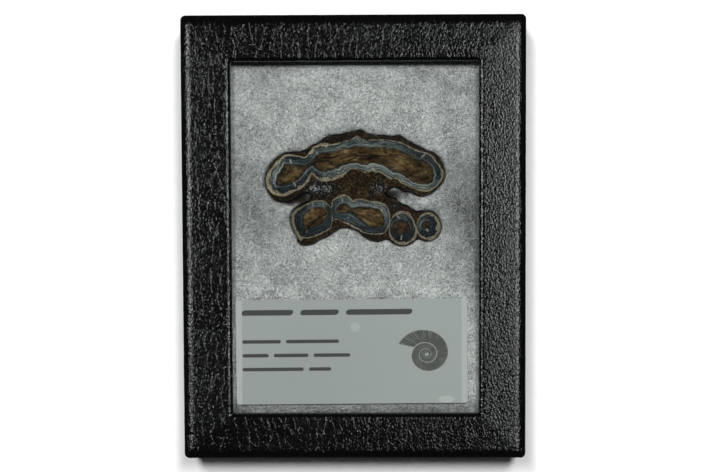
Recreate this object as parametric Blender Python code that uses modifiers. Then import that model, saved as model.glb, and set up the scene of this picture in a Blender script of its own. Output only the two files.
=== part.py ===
"""Polished cross-section of a mammoth molar in a glass-topped display case.

The case lies on its back. The tray holds a bed of fibre batting, the slice is
pressed into the bed with its polished face up, and a label card lies below it.
The lid telescopes over the tray and holds the glass down on the batting.

Driving sizes are in millimetres and become metres through MM. +X is the case's
right side, +Y its head and +Z comes out of the glass. The origin is the middle
of the tray's underside.
"""

import math

import bmesh
import bpy
import numpy as np
from mathutils import Vector, noise

MM = 0.001
GAP = 0.3  # between neighbouring pieces

# Case
CASE_WIDTH = 82.6
CASE_LENGTH = 107.5
CASE_DEPTH = 19.05
BOARD = 1.5  # covered cardboard wall
CASE_CORNER = 1.2
LID_REVEAL = 1.2  # the lid's skirt stops this far above the table
RAIL_CROWN = 0.5  # how far the rails stand above their edges
OUTER_ROUND = 2.2
WINDOW_ROUND = 1.2
WINDOW_WIDTH = 59.6
WINDOW_LENGTH = 84.1
WINDOW_CENTRE = (0.3, -0.3)
WINDOW_CORNER = 0.5
GLASS_THICKNESS = 1.5
GLASS_CHAMFER = 0.2

# Heights above the table, worked out from the lid down
LID_UNDERSIDE = 17.1
GLASS_TOP = LID_UNDERSIDE - GAP
GLASS_BOTTOM = GLASS_TOP - GLASS_THICKNESS
DISPLAY_LEVEL = GLASS_BOTTOM - GAP  # top of slice, card and tray rim

# Plan sizes, worked out from the outside in
CAVITY_WIDTH = CASE_WIDTH - 2 * BOARD
CAVITY_LENGTH = CASE_LENGTH - 2 * BOARD
TRAY_WIDTH = CAVITY_WIDTH - 2 * GAP
TRAY_LENGTH = CAVITY_LENGTH - 2 * GAP
BED_WIDTH = TRAY_WIDTH - 2 * BOARD - 2 * GAP
BED_LENGTH = TRAY_LENGTH - 2 * BOARD - 2 * GAP

# Batting
BED_BOTTOM = BOARD + GAP
BED_CELLS = (26, 35)
BED_SWELL = 0.35  # height of the batting's slow lumps
BED_SWELL_SIZE = 14.0
BED_EDGE_DROP = 1.6  # the pad is rounded along the tray's walls
BED_EDGE_REACH = 3.5
SLICE_DIP = 2.6  # the slice draws the batting down around it
SLICE_DIP_REACH = 2.6
POCKET_CLEARANCE = 0.3

# Label card
CARD_SIZE = (56.4, 25.6)
CARD_CENTRE = (-0.7, -27.9)
CARD_TURN = math.radians(0.4)
CARD_THICKNESS = 0.35
CARD_CORNER = 0.6

# Slice
SLICE_THICKNESS = 5.5
SLICE_EDGE = 0.2  # small round at the polished rim
SLICE_SIDE_CUTS = 3
SLICE_SIDE_WEAR = 0.35  # how deep the rough sides are eaten in
SLICE_WEAR_SIZE = 1.6
OUTLINE_STEPS = 3

# Outline of the slice in the display plane, clockwise from the left tip.
SLICE_OUTLINE = [
    (-21.6, 13.9), (-20.9, 16.7), (-19.4, 18.6), (-17.6, 20.1), (-16.4, 20.5),
    (-11.7, 21.1), (-10.0, 22.3), (-8.2, 23.0), (-7.1, 24.0), (-5.0, 24.7),
    (-3.6, 24.8), (-1.3, 25.5), (0.6, 25.7), (1.6, 26.0), (3.2, 25.1),
    (6.9, 24.7), (9.3, 24.3), (11.2, 24.6), (11.9, 24.1), (17.5, 21.0),
    (20.1, 19.9), (21.5, 17.8), (22.1, 15.2), (21.4, 13.1), (17.2, 10.0),
    (16.2, 10.0), (13.4, 11.1), (11.5, 11.5), (10.9, 12.0), (8.9, 12.0),
    (8.1, 11.1), (7.6, 10.5), (10.2, 9.2), (12.0, 7.7), (12.8, 7.6),
    (15.1, 6.1), (17.0, 6.4), (18.9, 6.1), (20.3, 4.9), (21.1, 3.4),
    (20.9, 1.3), (19.8, -0.3), (18.0, -1.0), (17.1, -0.9), (15.6, -0.4),
    (13.8, -1.6), (11.8, -2.2), (9.8, -1.7), (8.1, -0.5), (5.9, -1.1),
    (2.9, -0.2), (0.5, 1.7), (-3.1, 2.3), (-4.1, 1.8), (-6.5, 0.2),
    (-8.4, -0.6), (-10.0, -1.6), (-13.5, -1.4), (-13.9, 0.1), (-14.7, 1.6),
    (-15.4, 3.6), (-15.4, 5.5), (-14.3, 7.1), (-10.2, 9.8), (-10.6, 10.6),
    (-11.3, 11.0), (-15.5, 8.9), (-18.7, 8.9), (-19.6, 9.4), (-21.3, 12.0),
]

# Open pits in the polished face: centre, half sizes, depth and turn.
PITS = [
    ((-9.6, 12.0), (1.6, 0.9), 1.0, 10),
    ((-6.4, 11.9), (1.5, 1.1), 1.3, -15),
    ((6.6, 12.1), (0.7, 1.15), 0.9, 30),
    ((4.4, 10.7), (0.6, 0.55), 0.5, 0),
    ((9.8, 7.5), (0.55, 0.5), 0.7, 0),
]
PIT_ROUGHNESS = 0.22

PARTS_COLLECTION = "mammoth_molar_slice"
CUTTERS_COLLECTION = "cutters"


def clear_scene():
    for obj in list(bpy.data.objects):
        bpy.data.objects.remove(obj, do_unlink=True)


def make_collection(name):
    collection = bpy.data.collections.new(name)
    bpy.context.scene.collection.children.link(collection)
    return collection


def make_material(name, colour, roughness, metallic=0.0, transmission=0.0):
    material = bpy.data.materials.new(name)
    material.use_nodes = True
    shader = material.node_tree.nodes["Principled BSDF"]
    shader.inputs["Base Color"].default_value = (*colour, 1.0)
    shader.inputs["Roughness"].default_value = roughness
    shader.inputs["Metallic"].default_value = metallic
    shader.inputs["Transmission Weight"].default_value = transmission
    return material


def add_mesh_object(name, bm, collection, material=None):
    """Makes an object from a bmesh in millimetres."""
    bmesh.ops.scale(bm, vec=(MM, MM, MM), verts=bm.verts)
    bmesh.ops.recalc_face_normals(bm, faces=bm.faces)
    mesh = bpy.data.meshes.new(name)
    bm.to_mesh(mesh)
    bm.free()
    obj = bpy.data.objects.new(name, mesh)
    collection.objects.link(obj)
    if material:
        mesh.materials.append(material)
    return obj


def add_bevel(obj, width, segments=2, angle_limit=30):
    bevel = obj.modifiers.new("Bevel", "BEVEL")
    bevel.width = width * MM
    bevel.segments = segments
    bevel.limit_method = "ANGLE"
    bevel.angle_limit = math.radians(angle_limit)
    return bevel


def subtract(obj, cutter):
    boolean = obj.modifiers.new("Cut " + cutter.name, "BOOLEAN")
    boolean.operation = "DIFFERENCE"
    boolean.solver = "EXACT"
    boolean.object = cutter
    cutter.hide_render = True
    cutter.display_type = "WIRE"


def rounded_rectangle(width, length, radius, centre=(0.0, 0.0), steps=4):
    """Points of a rectangle with round corners, anticlockwise from its right side."""
    points = []
    corners = ((1, 1, 0), (-1, 1, 90), (-1, -1, 180), (1, -1, 270))
    for side_x, side_y, start in corners:
        corner_x = centre[0] + side_x * (width / 2 - radius)
        corner_y = centre[1] + side_y * (length / 2 - radius)
        for step in range(steps + 1):
            angle = math.radians(start + 90 * step / steps)
            points.append((corner_x + radius * math.cos(angle), corner_y + radius * math.sin(angle)))
    return points


def loft_closed(bm, rings):
    """Skins a loop of rings, the last joined to the first, into a frame."""
    ring_verts = [[bm.verts.new((x, y, z)) for x, y in points] for points, z in rings]
    count = len(ring_verts[0])
    for low, high in zip(ring_verts, ring_verts[1:] + ring_verts[:1]):
        for i in range(count):
            j = (i + 1) % count
            bm.faces.new((low[i], low[j], high[j], high[i]))


def blended_ring(share):
    """The plan outline a share of the way from the case's edge to the window's edge."""
    width = CASE_WIDTH + (WINDOW_WIDTH - CASE_WIDTH) * share
    length = CASE_LENGTH + (WINDOW_LENGTH - CASE_LENGTH) * share
    radius = CASE_CORNER + (WINDOW_CORNER - CASE_CORNER) * share
    centre = (WINDOW_CENTRE[0] * share, WINDOW_CENTRE[1] * share)
    return rounded_rectangle(width, length, radius, centre)


def build_lid(collection):
    """A covered cardboard frame with rounded, slightly crowned rails and a deep skirt."""
    rail = (CASE_WIDTH - WINDOW_WIDTH) / 2
    edge_height = CASE_DEPTH - RAIL_CROWN
    rings = [(blended_ring(0.0), LID_REVEAL)]
    round_steps = 4
    for step in range(round_steps + 1):
        angle = math.radians(90 * step / round_steps)
        inset = OUTER_ROUND * (1 - math.cos(angle))
        drop = OUTER_ROUND * (1 - math.sin(angle))
        rings.append((blended_ring(inset / rail), edge_height - drop))
    crown_steps = 6
    crown_start = OUTER_ROUND / rail
    crown_end = 1 - WINDOW_ROUND / rail
    for step in range(1, crown_steps):
        t = step / crown_steps
        share = crown_start + (crown_end - crown_start) * t
        rings.append((blended_ring(share), edge_height + RAIL_CROWN * math.sin(math.pi * t)))
    for step in range(round_steps + 1):
        angle = math.radians(90 * step / round_steps)
        inset = WINDOW_ROUND * (1 - math.sin(angle))
        drop = WINDOW_ROUND * (1 - math.cos(angle))
        rings.append((blended_ring(1 - inset / rail), edge_height - drop))
    rings.append((blended_ring(1.0), LID_UNDERSIDE))
    cavity = rounded_rectangle(CAVITY_WIDTH, CAVITY_LENGTH, WINDOW_CORNER)
    rings.append((cavity, LID_UNDERSIDE))
    rings.append((cavity, LID_REVEAL))
    bm = bmesh.new()
    loft_closed(bm, rings)
    material = make_material("black_leatherette", (0.012, 0.012, 0.013), 0.32)
    lid = add_mesh_object("case_lid", bm, collection, material)
    lid.data.shade_smooth()
    lid.data.set_sharp_from_angle(angle=math.radians(35))
    return lid


def box_mesh(width, length, low, high):
    bm = bmesh.new()
    bmesh.ops.create_cube(bm, size=1.0)
    bmesh.ops.scale(bm, vec=(width, length, high - low), verts=bm.verts)
    bmesh.ops.translate(bm, vec=(0, 0, (low + high) / 2), verts=bm.verts)
    return bm


def build_tray(collection):
    """An open box whose rim carries the glass."""
    bm = box_mesh(TRAY_WIDTH, TRAY_LENGTH, 0.0, DISPLAY_LEVEL)
    top = max(bm.faces, key=lambda face: face.calc_center_median().z)
    bmesh.ops.inset_region(bm, faces=[top], thickness=BOARD)
    sunk = bmesh.ops.extrude_discrete_faces(bm, faces=[top])["faces"]
    bmesh.ops.translate(bm, vec=(0, 0, BOARD - DISPLAY_LEVEL), verts=sunk[0].verts)
    material = make_material("black_paper_board", (0.014, 0.014, 0.015), 0.55)
    tray = add_mesh_object("case_tray", bm, collection, material)
    add_bevel(tray, GAP)
    return tray


def build_glass(collection):
    bm = box_mesh(TRAY_WIDTH, TRAY_LENGTH, GLASS_BOTTOM, GLASS_TOP)
    material = make_material("clear_glass", (0.96, 0.98, 0.97), 0.02, transmission=1.0)
    glass = add_mesh_object("window_glass", bm, collection, material)
    add_bevel(glass, GLASS_CHAMFER, segments=1)
    return glass


def build_card(collection):
    """A stiff laminated label with small round corners, turned a little."""
    curve = bpy.data.curves.new("label_card_outline", "CURVE")
    curve.dimensions = "2D"
    curve.fill_mode = "BOTH"
    curve.extrude = CARD_THICKNESS / 2 * MM
    points = rounded_rectangle(*CARD_SIZE, CARD_CORNER, steps=3)
    spline = curve.splines.new("POLY")
    spline.points.add(len(points) - 1)
    for point, (x, y) in zip(spline.points, points):
        point.co = (x * MM, y * MM, 0, 1)
    spline.use_cyclic_u = True
    curve.materials.append(make_material("laminated_card", (0.34, 0.36, 0.355), 0.3))
    card = bpy.data.objects.new("label_card", curve)
    middle = DISPLAY_LEVEL - CARD_THICKNESS / 2
    card.location = Vector((*CARD_CENTRE, middle)) * MM
    card.rotation_euler.z = CARD_TURN
    collection.objects.link(card)
    return card


def outline_curve(name, thickness, grow=0.0, edge=0.0):
    """The slice's outline as a filled curve, smooth through its points."""
    curve = bpy.data.curves.new(name, "CURVE")
    curve.dimensions = "2D"
    curve.fill_mode = "BOTH"
    curve.resolution_u = OUTLINE_STEPS
    curve.extrude = (thickness / 2 - edge) * MM
    curve.bevel_depth = edge * MM
    curve.bevel_resolution = 1
    curve.offset = (grow - edge) * MM
    spline = curve.splines.new("BEZIER")
    spline.bezier_points.add(len(SLICE_OUTLINE) - 1)
    for point, (x, y) in zip(spline.bezier_points, SLICE_OUTLINE):
        point.co = Vector((x, y, 0)) * MM
        point.handle_left_type = "AUTO"
        point.handle_right_type = "AUTO"
    spline.use_cyclic_u = True
    return curve


def curve_to_mesh(name, curve, collection, height):
    """Turns a filled curve into a welded mesh object whose middle is at a height."""
    source = bpy.data.objects.new(name + "_curve", curve)
    source.location.z = height * MM
    collection.objects.link(source)
    bpy.context.view_layer.update()
    evaluated = source.evaluated_get(bpy.context.evaluated_depsgraph_get())
    mesh = bpy.data.meshes.new_from_object(evaluated)
    obj = bpy.data.objects.new(name, mesh)
    obj.matrix_world = source.matrix_world
    collection.objects.link(obj)
    bpy.data.objects.remove(source)
    weld_distance = 0.00002
    bm = bmesh.new()
    bm.from_mesh(mesh)
    bmesh.ops.remove_doubles(bm, verts=bm.verts, dist=weld_distance)
    bmesh.ops.recalc_face_normals(bm, faces=bm.faces)
    bm.to_mesh(mesh)
    bm.free()
    mesh.name = name
    return obj


def roughen_sides(obj):
    """Cuts rings into the slice's sides and eats them inwards, as broken cement is."""
    bm = bmesh.new()
    bm.from_mesh(obj.data)
    long_side = SLICE_THICKNESS * MM / 2
    uprights = [e for e in bm.edges if abs(e.verts[0].co.z - e.verts[1].co.z) > long_side]
    cut = bmesh.ops.subdivide_edges(bm, edges=uprights, cuts=SLICE_SIDE_CUTS)
    bm.normal_update()
    moved = [v for v in cut["geom_inner"] if isinstance(v, bmesh.types.BMVert)]
    half = SLICE_THICKNESS / 2
    for vert in moved:
        depth = 0.5 + 0.5 * noise.noise(vert.co / (SLICE_WEAR_SIZE * MM))
        belly = 1 - (vert.co.z / (half * MM)) ** 2
        outward = Vector((vert.normal.x, vert.normal.y, 0)).normalized()
        vert.co -= outward * SLICE_SIDE_WEAR * depth * belly * MM
    bm.to_mesh(obj.data)
    bm.free()


def build_pit(index, centre, half_sizes, depth, turn, collection):
    """A lumpy bowl that opens a pit in the polished face."""
    bm = bmesh.new()
    bmesh.ops.create_icosphere(bm, subdivisions=2, radius=1.0)
    for vert in bm.verts:
        vert.co *= 1 + PIT_ROUGHNESS * noise.noise(vert.co * 1.7 + Vector((index, 0, 0)))
    bmesh.ops.scale(bm, vec=(*half_sizes, depth), verts=bm.verts)
    name = f"pit_{index}"
    cutter = add_mesh_object(name, bm, collection)
    cutter.location = Vector((*centre, DISPLAY_LEVEL)) * MM
    cutter.rotation_euler.z = math.radians(turn)
    return cutter


def build_slice(parts, cutters):
    """One solid slab of plates and cement with a flat polished face and a few pits."""
    curve = outline_curve("molar_outline", SLICE_THICKNESS, edge=SLICE_EDGE)
    middle = DISPLAY_LEVEL - SLICE_THICKNESS / 2
    molar = curve_to_mesh("molar_slice", curve, parts, middle)
    roughen_sides(molar)
    molar.data.materials.clear()
    molar.data.materials.append(make_material("polished_molar", (0.085, 0.058, 0.035), 0.22))
    for index, (centre, half_sizes, depth, turn) in enumerate(PITS):
        subtract(molar, build_pit(index, centre, half_sizes, depth, turn, cutters))
    return molar


def distance_to_outline(points, outline):
    """Distance from each plan point to a closed outline, in millimetres."""
    start = np.array(outline)
    along = np.roll(start, -1, axis=0) - start
    length_squared = (along**2).sum(1)
    nearest = np.full(len(points), np.inf)
    for a, d, squared in zip(start, along, length_squared):
        share = np.clip((points - a) @ d / squared, 0, 1)
        foot = a + share[:, None] * d
        nearest = np.minimum(nearest, np.hypot(*(points - foot).T))
    return nearest


def bed_height(points):
    """Height of the batting: slow lumps, round edges, and a dip around the slice."""
    swell = np.array([noise.noise(Vector((x, y, 3.0)) / BED_SWELL_SIZE) for x, y in points])
    to_edge = np.minimum(BED_WIDTH / 2 - abs(points[:, 0]), BED_LENGTH / 2 - abs(points[:, 1]))
    to_slice = distance_to_outline(points, SLICE_OUTLINE)
    height = DISPLAY_LEVEL - BED_SWELL * (0.5 + 0.5 * swell)
    height -= BED_EDGE_DROP * np.exp(-to_edge / BED_EDGE_REACH)
    height -= SLICE_DIP * np.exp(-to_slice / SLICE_DIP_REACH)
    offset = points - np.array(CARD_CENTRE)
    beyond_card = np.maximum(abs(offset[:, 0]) - CARD_SIZE[0] / 2, abs(offset[:, 1]) - CARD_SIZE[1] / 2)
    card_seat = DISPLAY_LEVEL - CARD_THICKNESS - GAP
    free = np.clip(beyond_card / BED_EDGE_REACH, 0, 1)
    return np.minimum(height, card_seat + (DISPLAY_LEVEL - card_seat) * free)


def build_bed(parts, cutters):
    """A slab of batting with a pocket that the slice lies in."""
    bm = bmesh.new()
    bmesh.ops.create_grid(bm, x_segments=BED_CELLS[0], y_segments=BED_CELLS[1], size=0.5)
    bmesh.ops.scale(bm, vec=(BED_WIDTH, BED_LENGTH, 1), verts=bm.verts)
    plan = np.array([vert.co.xy for vert in bm.verts])
    for vert, height in zip(bm.verts, bed_height(plan)):
        vert.co.z = height
    sheet = bmesh.ops.extrude_face_region(bm, geom=list(bm.faces))
    base = [v for v in sheet["geom"] if isinstance(v, bmesh.types.BMVert)]
    for vert in base:
        vert.co.z = BED_BOTTOM
    flat = [f for f in bm.faces if all(v.co.z == base[0].co.z for v in f.verts)]
    bmesh.ops.dissolve_faces(bm, faces=flat, use_verts=False)
    material = make_material("fibre_batting", (0.42, 0.44, 0.435), 0.9)
    bed = add_mesh_object("fibre_bed", bm, parts, material)
    pocket_floor = DISPLAY_LEVEL - SLICE_THICKNESS - GAP
    pocket_height = 2 * (DISPLAY_LEVEL - pocket_floor)
    curve = outline_curve("pocket_outline", pocket_height, grow=POCKET_CLEARANCE)
    pocket = curve_to_mesh("slice_pocket", curve, cutters, pocket_floor + pocket_height / 2)
    subtract(bed, pocket)
    return bed


def build():
    clear_scene()
    parts = make_collection(PARTS_COLLECTION)
    cutters = make_collection(CUTTERS_COLLECTION)
    build_tray(parts)
    build_lid(parts)
    build_glass(parts)
    build_bed(parts, cutters)
    build_slice(parts, cutters)
    build_card(parts)


build()
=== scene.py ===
"""The looks of a mammoth molar slice in its glass-topped case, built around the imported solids."""

import math

import bmesh
import bpy
import numpy as np
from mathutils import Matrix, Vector, geometry, noise


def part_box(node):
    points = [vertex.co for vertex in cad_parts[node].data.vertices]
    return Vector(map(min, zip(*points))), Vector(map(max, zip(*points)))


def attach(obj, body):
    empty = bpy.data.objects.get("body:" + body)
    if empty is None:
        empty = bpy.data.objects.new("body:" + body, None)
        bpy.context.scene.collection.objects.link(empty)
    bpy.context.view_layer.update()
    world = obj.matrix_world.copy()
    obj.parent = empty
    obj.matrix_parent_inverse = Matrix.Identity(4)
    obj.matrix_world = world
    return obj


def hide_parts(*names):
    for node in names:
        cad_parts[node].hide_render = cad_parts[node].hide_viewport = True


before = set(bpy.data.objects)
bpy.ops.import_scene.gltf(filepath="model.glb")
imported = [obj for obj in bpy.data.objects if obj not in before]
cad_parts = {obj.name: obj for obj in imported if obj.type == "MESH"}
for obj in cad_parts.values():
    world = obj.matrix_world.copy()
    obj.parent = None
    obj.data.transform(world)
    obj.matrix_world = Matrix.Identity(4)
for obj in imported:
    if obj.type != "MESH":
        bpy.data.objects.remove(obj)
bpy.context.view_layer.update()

MM = 0.001
ROOT = "root"
NOISE_SEED = 3
noise.seed_set(NOISE_SEED)  # without a seed, the noise vectors that bend the lid's wrinkles follow the clock


def node_box(name):
    """Lowest and highest corner of a CAD node, in millimetres."""
    low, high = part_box(name)
    return np.array(low) / MM, np.array(high) / MM


LID_LOW, LID_HIGH = node_box("case_lid")
_, GLASS_HIGH = node_box("window_glass")
BED_LOW, BED_HIGH = node_box("fibre_bed")
SLICE_LOW, SLICE_HIGH = node_box("molar_slice")
CARD_LOW, CARD_HIGH = node_box("label_card")
DISPLAY_LEVEL = SLICE_HIGH[2]

# Camera, as the photo was taken: nearly straight down, from a little above the middle
CAMERA_LENS = 100.0
SENSOR_WIDTH = 36.0
CAMERA_POSITION = (7.98, 34.97, 490.98)
CAMERA_TURN = (-4.162, 0.943, -0.24)

# Lid, repeated from the part's source
WINDOW_SIZE = (59.6, 84.1)
WINDOW_CENTRE = (0.3, -0.3)
CASE_CORNER = 1.2
WINDOW_CORNER = 0.5
BOARD = 1.5
LID_UNDERSIDE = GLASS_HIGH[2] + 0.3

# Card, repeated from the part's source
CARD_SIZE = (56.4, 25.6)
CARD_CENTRE = (-0.7, -27.9)
CARD_TURN = math.radians(0.4)

# Painted highlights on the card's laminate, as pale spots: centre, half size and strength
CARD_GLINTS = [((0.2, -21.9), (1.35, 1.35), 0.7), ((22.4, -39.6), (2.2, 1.0), 1.0)]

# Contours of the slice's plates in the display plane, in millimetres. OUT is the outside of the
# enamel and IN is where it meets the dentine.
UPPER_OUT = [
    (-21.4, 13.8), (-20.8, 15.9), (-19.4, 18.0), (-17.6, 19.6), (-15.8, 20.3), (-12.0, 19.7),
    (-11.4, 20.1), (-10.4, 21.2), (-9.8, 22.1), (-7.3, 23.1), (-5.0, 22.7), (-2.1, 23.6),
    (-0.9, 23.7), (0.4, 24.5), (1.0, 24.6), (3.0, 23.8), (7.7, 23.8), (9.8, 23.4),
    (10.9, 23.3), (15.7, 21.1), (18.5, 20.2), (20.1, 18.7), (21.8, 16.0), (21.6, 14.1),
    (19.3, 11.6), (17.3, 11.0), (16.3, 11.2), (15.2, 11.4), (11.7, 13.0), (10.4, 14.1),
    (8.8, 14.1), (6.8, 15.5), (4.9, 15.9), (4.6, 16.2), (3.1, 15.6), (2.3, 15.7),
    (1.9, 16.1), (-0.4, 16.6), (-1.1, 16.2), (-3.4, 14.3), (-7.1, 13.6), (-9.3, 14.4),
    (-9.7, 15.0), (-10.3, 15.1), (-11.1, 13.2), (-13.5, 11.4), (-14.1, 11.3), (-16.7, 10.1),
    (-19.1, 10.3), (-20.8, 11.7),
]
UPPER_IN = [
    (-17.0, 17.3), (-16.4, 17.8), (-13.8, 17.4), (-11.2, 17.7), (-9.7, 18.9), (-8.3, 20.4),
    (-5.0, 20.7), (-2.9, 21.5), (-0.6, 21.8), (0.6, 22.1), (3.3, 21.8), (8.5, 21.7),
    (11.9, 20.6), (15.7, 18.6), (16.7, 18.7), (18.9, 16.6), (18.8, 13.4), (15.2, 13.2),
    (11.0, 15.7), (9.3, 16.0), (8.5, 16.8), (6.5, 17.7), (4.6, 18.1), (2.8, 17.7),
    (0.7, 18.1), (-1.4, 18.0), (-6.5, 16.2), (-8.9, 16.6), (-10.0, 17.7), (-11.5, 16.6),
    (-13.2, 14.7), (-14.1, 14.1), (-15.0, 13.2), (-17.8, 12.8), (-18.9, 13.6),
]
LOWER_LEFT_OUT = [
    (-15.2, 5.5), (-14.0, 7.0), (-9.9, 8.9), (-7.5, 9.0), (-5.8, 7.6), (-5.3, 5.5), (-5.4, 3.2),
    (-6.2, 1.7), (-9.5, 0.1), (-11.5, -0.3), (-12.3, -0.2), (-13.1, -0.7), (-14.9, 2.6),
]
LOWER_LEFT_IN = [
    (-12.0, 5.7), (-11.1, 6.7), (-9.6, 7.2), (-7.9, 7.3), (-6.7, 6.9), (-6.3, 6.2), (-6.4, 5.4),
    (-7.0, 4.5), (-8.1, 3.5), (-9.0, 2.9), (-10.2, 2.6), (-11.0, 1.8), (-11.6, 1.7), (-12.1, 2.7),
    (-12.2, 4.2),
]
LOWER_MIDDLE_OUT = [
    (-5.5, 8.6), (-4.8, 9.5), (-2.9, 10.5), (-1.2, 10.1), (-0.1, 9.1), (0.7, 9.6), (2.8, 9.4),
    (3.5, 9.0), (5.7, 8.8), (7.8, 7.9), (8.8, 5.6), (8.5, 2.7), (7.5, 1.1), (6.5, 0.7), (4.0, 0.7),
    (2.9, 1.0), (2.1, 1.0), (1.2, 1.8), (0.0, 2.2), (-1.6, 3.2), (-2.4, 3.3), (-3.2, 4.0),
    (-4.3, 4.4), (-5.0, 4.0), (-5.3, 5.0),
]
LOWER_MIDDLE_IN = [
    (-4.3, 6.6), (-3.8, 7.5), (-2.9, 8.1), (-2.0, 8.1), (-1.3, 7.6), (-0.5, 7.0), (0.7, 7.3),
    (2.5, 7.4), (4.3, 7.2), (5.8, 6.8), (6.7, 6.1), (7.2, 5.1), (7.4, 3.9), (7.0, 2.8), (5.8, 2.4),
    (4.3, 2.6), (3.1, 3.3), (2.2, 4.0), (1.0, 4.9), (-0.1, 5.8), (-1.0, 6.2), (-2.3, 6.1),
    (-3.9, 6.1),
]
FIRST_RING_OUT = [
    (10.0, 5.8), (12.1, 6.6), (13.9, 5.6), (15.3, 2.0), (14.8, -0.4), (12.9, -1.7), (10.6, -1.7),
    (8.6, 0.2), (8.7, 3.8),
]


def ellipse(centre, half_width, half_height, steps=12):
    """Points of an ellipse."""
    turns = (2 * math.pi * i / steps for i in range(steps))
    return [(centre[0] + half_width * math.cos(a), centre[1] + half_height * math.sin(a)) for a in turns]


PLATES = [
    (UPPER_OUT, UPPER_IN),
    (LOWER_LEFT_OUT, LOWER_LEFT_IN),
    (LOWER_MIDDLE_OUT, LOWER_MIDDLE_IN),
    (FIRST_RING_OUT, ellipse((11.4, 2.5), 2.1, 1.7)),
    (ellipse((18.1, 2.7), 3.0, 3.5), ellipse((17.4, 2.9), 1.0, 0.95)),
]

# Dark seams in the dentine, and pale mineral cracks across the enamel
SEAMS = [
    [(-9.9, 18.0), (-8.6, 18.4), (-7.1, 18.5), (-5.8, 19.0), (-4.3, 19.9)],
    [(-2.6, 17.4), (-0.9, 18.8), (0.8, 19.6)],
    [(-0.2, 20.1), (2.0, 19.8), (4.9, 19.9), (7.8, 19.7)],
    [(-11.3, 2.2), (-9.9, 3.7), (-8.5, 4.6), (-6.5, 6.0)],
]
CRACKS = [  # ends, and how white the crack is
    ((-15.4, 18.9), (-15.1, 18.1), 1.0), ((-14.6, 13.5), (-14.1, 12.6), 0.7),
    ((-11.2, 16.5), (-11.8, 15.6), 0.35), ((-9.1, 20.9), (-8.8, 20.3), 0.5),
    ((1.0, 24.2), (1.3, 23.5), 0.35), ((17.1, 20.0), (16.4, 19.4), 0.7),
    ((4.6, 17.6), (4.5, 17.0), 0.3), ((-2.8, 9.5), (-2.75, 8.8), 0.6),
    ((-9.9, 8.5), (-10.0, 7.6), 0.45), ((-7.4, 8.4), (-7.3, 7.8), 0.3),
    ((6.7, 6.9), (6.8, 6.1), 0.5), ((10.5, 5.2), (10.9, 4.7), 0.7), ((11.6, 0.4), (11.4, -0.5), 0.7),
    ((17.65, 2.0), (17.9, 1.5), 0.9), ((-11.43, 1.7), (-11.5, 1.2), 0.3),
    ((-19.2, 13.2), (-18.9, 14.0), 0.4),
]

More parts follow.
